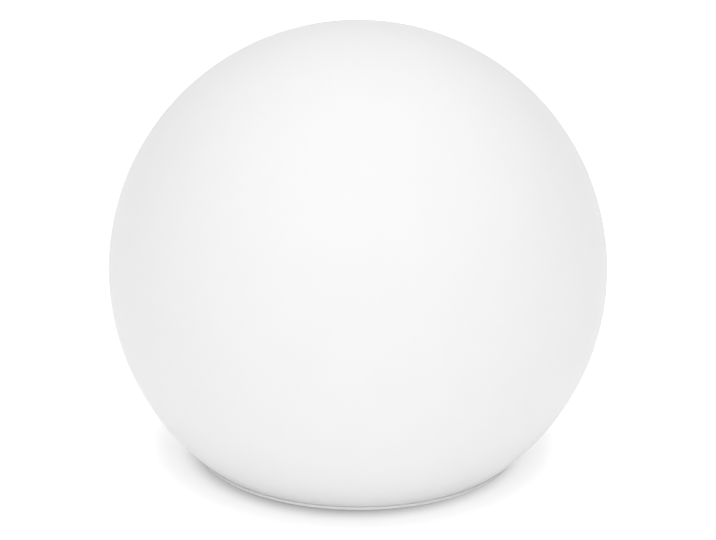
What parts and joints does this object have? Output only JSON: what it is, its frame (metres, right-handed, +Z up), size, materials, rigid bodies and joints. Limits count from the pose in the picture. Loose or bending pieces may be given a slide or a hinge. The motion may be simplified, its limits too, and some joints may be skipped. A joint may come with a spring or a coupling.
{
  "type": "garden globe light",
  "caption": "Free-standing cordless garden globe light: an opal ball with a flat-cut bottom on a thin base plate, with a sealed LED module inside and its controls in a recess below.",
  "frame": {"origin": "on the ground under the middle of the ball, in the plane of the feet", "axes": "+Z up along the ball's axis; -Y towards the front; +X to the right, on the charging socket's side of the control recess"},
  "size_m": [0.3, 0.3, 0.2646],
  "materials": {
    "opal_plastic": "satin moulded opal polyethylene",
    "base_plastic": "satin moulded white plastic",
    "brass": "turned and knurled",
    "seal_rubber": "moulded silicone",
    "foot_rubber": "moulded silicone, matte",
    "screw_steel": "stainless, turned",
    "housing_plastic": "moulded, fine texture",
    "cover_plastic": "moulded, fine texture",
    "button_plastic": "moulded, dished face",
    "switch_plastic": "moulded, plain",
    "contact_nickel": "nickel plated strip",
    "board_laminate": "solder mask",
    "chip_resin": "moulded resin",
    "capacitor_can": "drawn can",
    "cell_wrap": "shrunk film over a steel can",
    "lead_red": "silicone insulation",
    "lead_black": "silicone insulation",
    "spreader_aluminium": "stamped sheet",
    "led_board_white": "white solder mask on aluminium",
    "led_phosphor": "phosphor in a white frame",
    "clear_plastic": "clear, polished",
    "frosted_plastic": "frosted diffuser"
  },
  "bodies": {
    "base": {"base_gasket": "seal_rubber", "base_plate": "base_plastic", "base_screws": "screw_steel", "battery_cell_1": "cell_wrap", "battery_cell_2": "cell_wrap", "battery_contacts": "contact_nickel", "battery_lead_black": "lead_black", "battery_lead_red": "lead_red", "battery_terminals": "switch_plastic", "battery_tray": "housing_plastic", "board_capacitors": "capacitor_can", "board_screws": "screw_steel", "charge_socket": "switch_plastic", "control_board": "board_laminate", "control_chip": "chip_resin", "cover_pin": "screw_steel", "driver_coil": "chip_resin", "foot_pads": "foot_rubber", "globe_shell": "opal_plastic", "heat_spreader": "spreader_aluminium", "housing_screws": "screw_steel", "lead_grommet": "seal_rubber", "led_board": "led_board_white", "led_board_screws": "screw_steel", "led_cover": "frosted_plastic", "led_cover_seal": "seal_rubber", "led_lead_black": "lead_black", "led_lead_red": "lead_red", "led_terminal": "switch_plastic", "leds": "led_phosphor", "light_pipe": "clear_plastic", "module_housing": "housing_plastic", "push_switch": "switch_plastic", "shell_inserts": "brass", "socket_pin": "contact_nickel", "socket_seal": "seal_rubber", "status_led": "led_phosphor", "tray_screws": "screw_steel"},
    "power_button": {"power_button": "button_plastic", "switch_stem": "switch_plastic"},
    "port_cover": {"port_cover": "cover_plastic", "cover_seal": "seal_rubber"}
  },
  "joints": [
    {"name": "button_press", "type": "slide", "parent": "base", "child": "power_button", "axis": [0, 0, 1], "range_m": [0, 0.001], "stiffness_N_per_m": 1000, "springref_m": -0.001},
    {"name": "cover_hinge", "type": "hinge", "parent": "base", "child": "port_cover", "pos_m": [0.0218, 0, 0.016], "axis": [0, -1, 0], "range_deg": [0, 100]}
  ]
}
